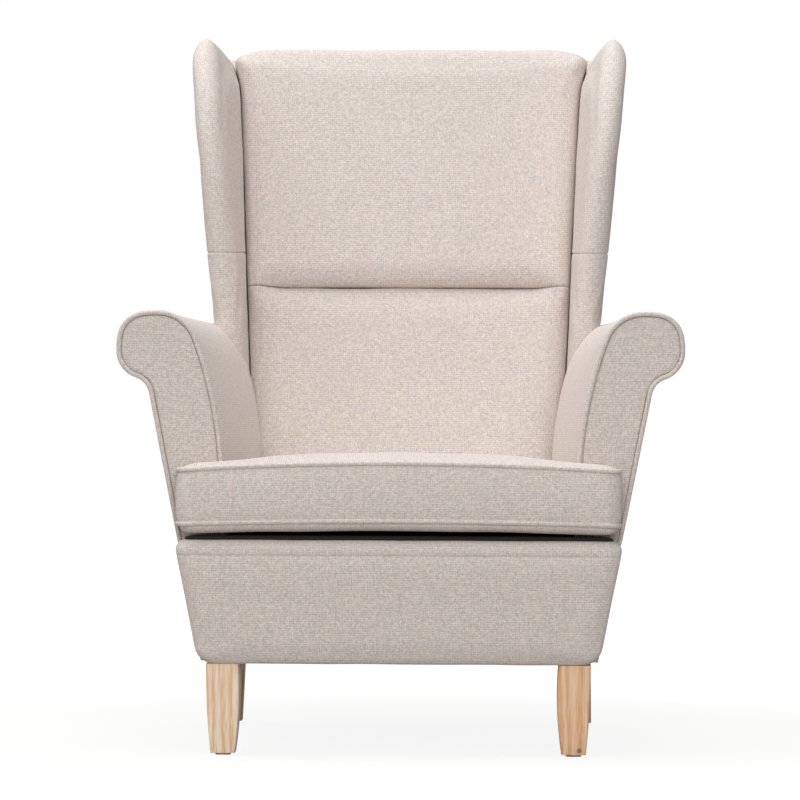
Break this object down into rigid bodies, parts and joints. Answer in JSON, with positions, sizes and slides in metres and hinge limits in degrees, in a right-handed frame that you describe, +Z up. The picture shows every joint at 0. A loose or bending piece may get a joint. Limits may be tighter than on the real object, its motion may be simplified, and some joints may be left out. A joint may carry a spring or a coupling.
{
  "type": "winged bergere armchair",
  "caption": "Upholstered winged armchair with rolled arms, a loose T-shaped seat cushion, piped seams and tapered wooden legs.",
  "frame": {"origin": "middle of the bounding box on the floor under the feet", "axes": "+Z up, the front of the chair towards -Y, +X to the right of someone standing in front of it"},
  "size_m": [0.8, 0.828, 1.061],
  "materials": {
    "upholstery": "woven melange linen look",
    "black_cloth": "thin spunbond cloth",
    "foam": "open-cell polyurethane foam",
    "webbing": "woven elastic webbing",
    "frame_wood": "sawn softwood",
    "leg_wood": "clear matt lacquered beech",
    "steel": "zinc plated",
    "glide": "moulded",
    "zip_tape": "coil zip on woven tape",
    "zip_metal": "enamelled"
  },
  "bodies": {
    "chair": {"apron_cover": "upholstery", "apron_pad": "foam", "back_webbing": "webbing", "corner_blocks": "frame_wood", "deck_cloth": "black_cloth", "deck_pad": "foam", "dust_cover": "black_cloth", "front_rail": "frame_wood", "left_arm_cover": "upholstery", "left_arm_facing": "upholstery", "left_arm_pad": "foam", "left_arm_piping": "upholstery", "left_arm_post": "frame_wood", "left_arm_rail": "frame_wood", "left_back_post": "frame_wood", "left_front_leg": "leg_wood", "left_outside_arm_panel": "upholstery", "left_rear_leg": "leg_wood", "left_side_rail": "frame_wood", "left_wing_board": "frame_wood", "left_wing_cover": "upholstery", "left_wing_pad": "foam", "leg_bolts": "steel", "leg_glides": "glide", "leg_inserts": "steel", "lower_back_cover": "upholstery", "lower_back_pad": "foam", "lumbar_rail": "frame_wood", "outside_back_panel": "upholstery", "rear_rail": "frame_wood", "right_arm_cover": "upholstery", "right_arm_facing": "upholstery", "right_arm_pad": "foam", "right_arm_piping": "upholstery", "right_arm_post": "frame_wood", "right_arm_rail": "frame_wood", "right_back_post": "frame_wood", "right_front_leg": "leg_wood", "right_outside_arm_panel": "upholstery", "right_rear_leg": "leg_wood", "right_side_rail": "frame_wood", "right_wing_board": "frame_wood", "right_wing_cover": "upholstery", "right_wing_pad": "foam", "seat_springs": "steel", "spring_clips": "steel", "spring_rail": "frame_wood", "top_back_rail": "frame_wood", "upper_back_cover": "upholstery", "upper_back_pad": "foam"},
    "seat_cushion": {"cushion_cover": "upholstery", "cushion_core": "foam", "cushion_top_piping": "upholstery", "cushion_bottom_piping": "upholstery", "cushion_zip": "zip_tape"},
    "zip_slider": {"zip_slider": "zip_metal"}
  },
  "joints": [
    {"name": "cushion_lift", "type": "slide", "parent": "chair", "child": "seat_cushion", "axis": [0, 0, 1], "range_m": [0, 0.3]},
    {"name": "zip_slide", "type": "slide", "parent": "seat_cushion", "child": "zip_slider", "axis": [-1, 0, 0], "range_m": [0, 0.36]}
  ]
}
